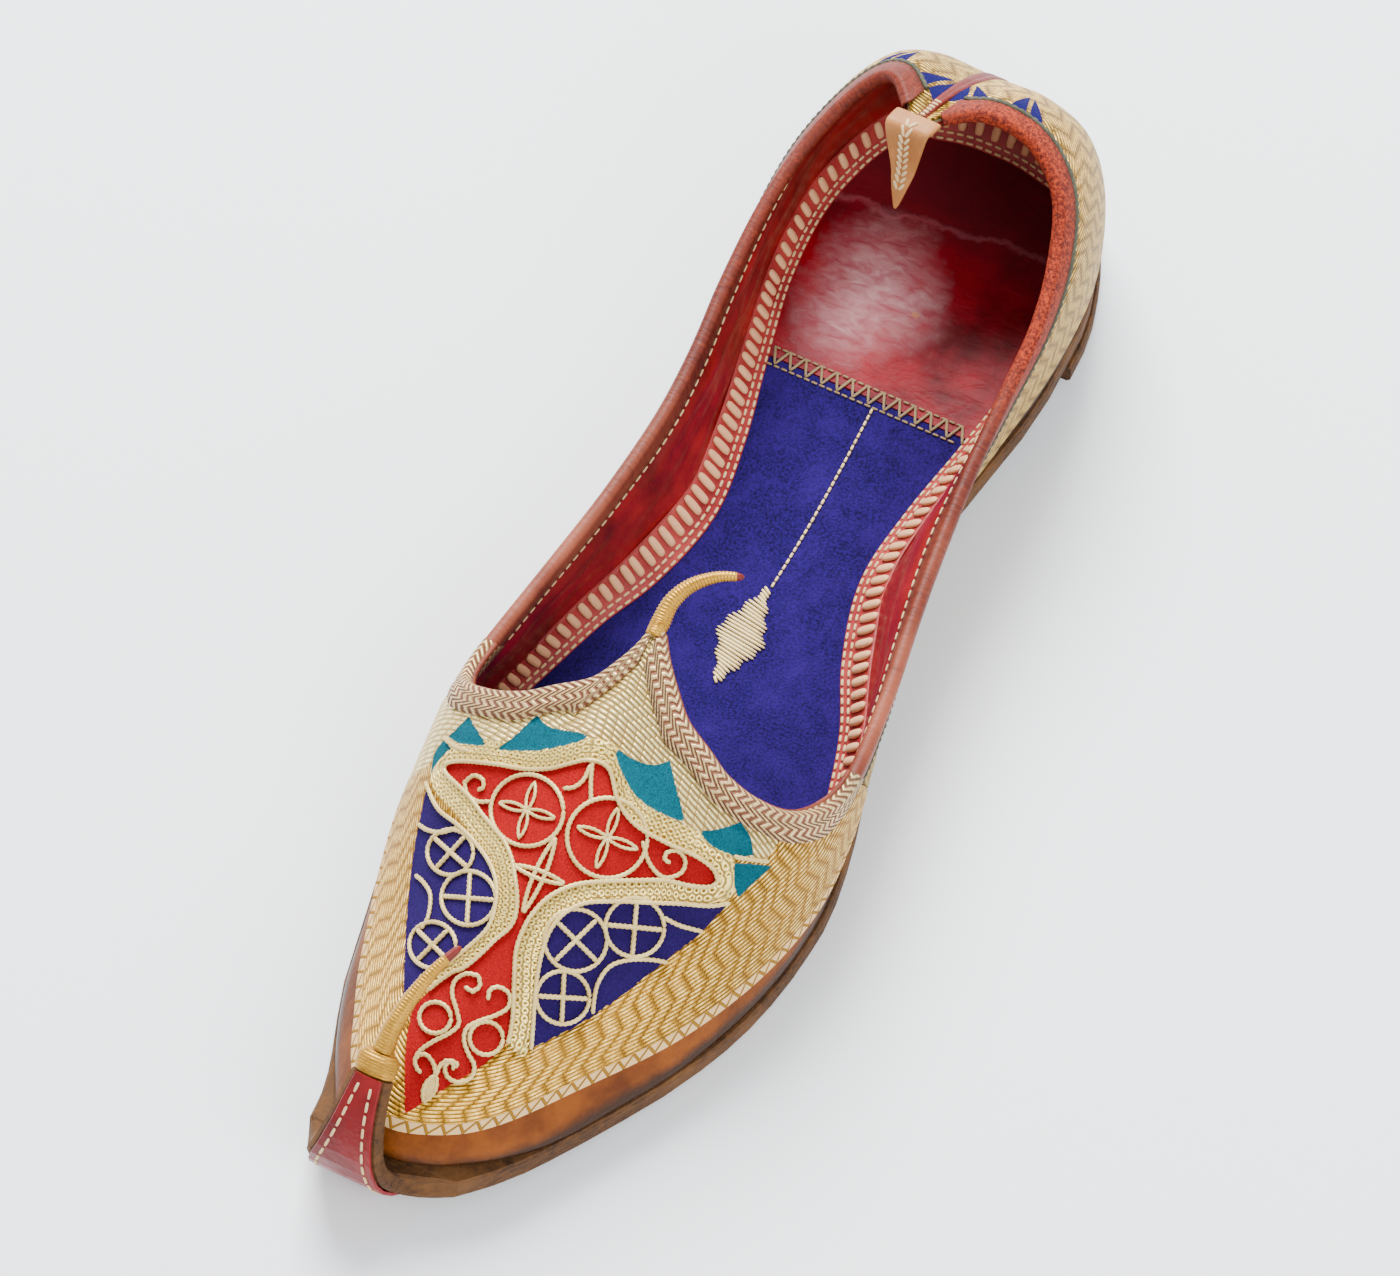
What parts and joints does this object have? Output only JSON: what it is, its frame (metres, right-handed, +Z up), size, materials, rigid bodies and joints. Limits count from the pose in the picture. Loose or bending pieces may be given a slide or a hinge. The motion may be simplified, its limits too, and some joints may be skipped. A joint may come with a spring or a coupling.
{
  "type": "mojari shoe",
  "caption": "Embroidered leather slip-on shoe with a pointed curled toe strip, a horned tongue, a low collar with a bound edge and a flat leather sole on a thin heel lift.",
  "frame": {"origin": "on the floor, under the middle of the shoe's bounding box", "axes": "+X forward to the toe, +Y to the wearer's left, +Z up from the floor"},
  "size_m": [0.2718, 0.0842, 0.0612],
  "materials": {
    "sole_leather": "rough dark brown vegetable-tanned sole leather",
    "upper_leather": "waxed brown tan leather, red lining inside",
    "gold_embroidery": "tarnished gold metal thread embroidery",
    "red_leather": "orange-red goat leather, creased",
    "crimson_leather": "glossy crimson leather, scuffed",
    "blue_cloth": "deep blue velvet",
    "tan_leather": "plain tan leather",
    "thread_braid": "flat braid of tarnished silver and gold thread over red-brown"
  },
  "bodies": {
    "root": {"outsole": "sole_leather", "heel_lift": "sole_leather", "upper": "upper_leather", "vamp_panel": "gold_embroidery", "quarter_panel_right": "gold_embroidery", "quarter_panel_left": "gold_embroidery", "back_strip": "red_leather", "collar_binding_right": "red_leather", "collar_binding_left": "red_leather", "throat_braid_right": "thread_braid", "throat_braid_left": "thread_braid", "insole": "tan_leather", "heel_sock": "crimson_leather", "insole_cloth": "blue_cloth", "toe_facing": "red_leather", "toe_wrap": "gold_embroidery", "toe_horn": "gold_embroidery", "throat_horn": "gold_embroidery", "heel_tab": "tan_leather"}
  },
  "joints": []
}
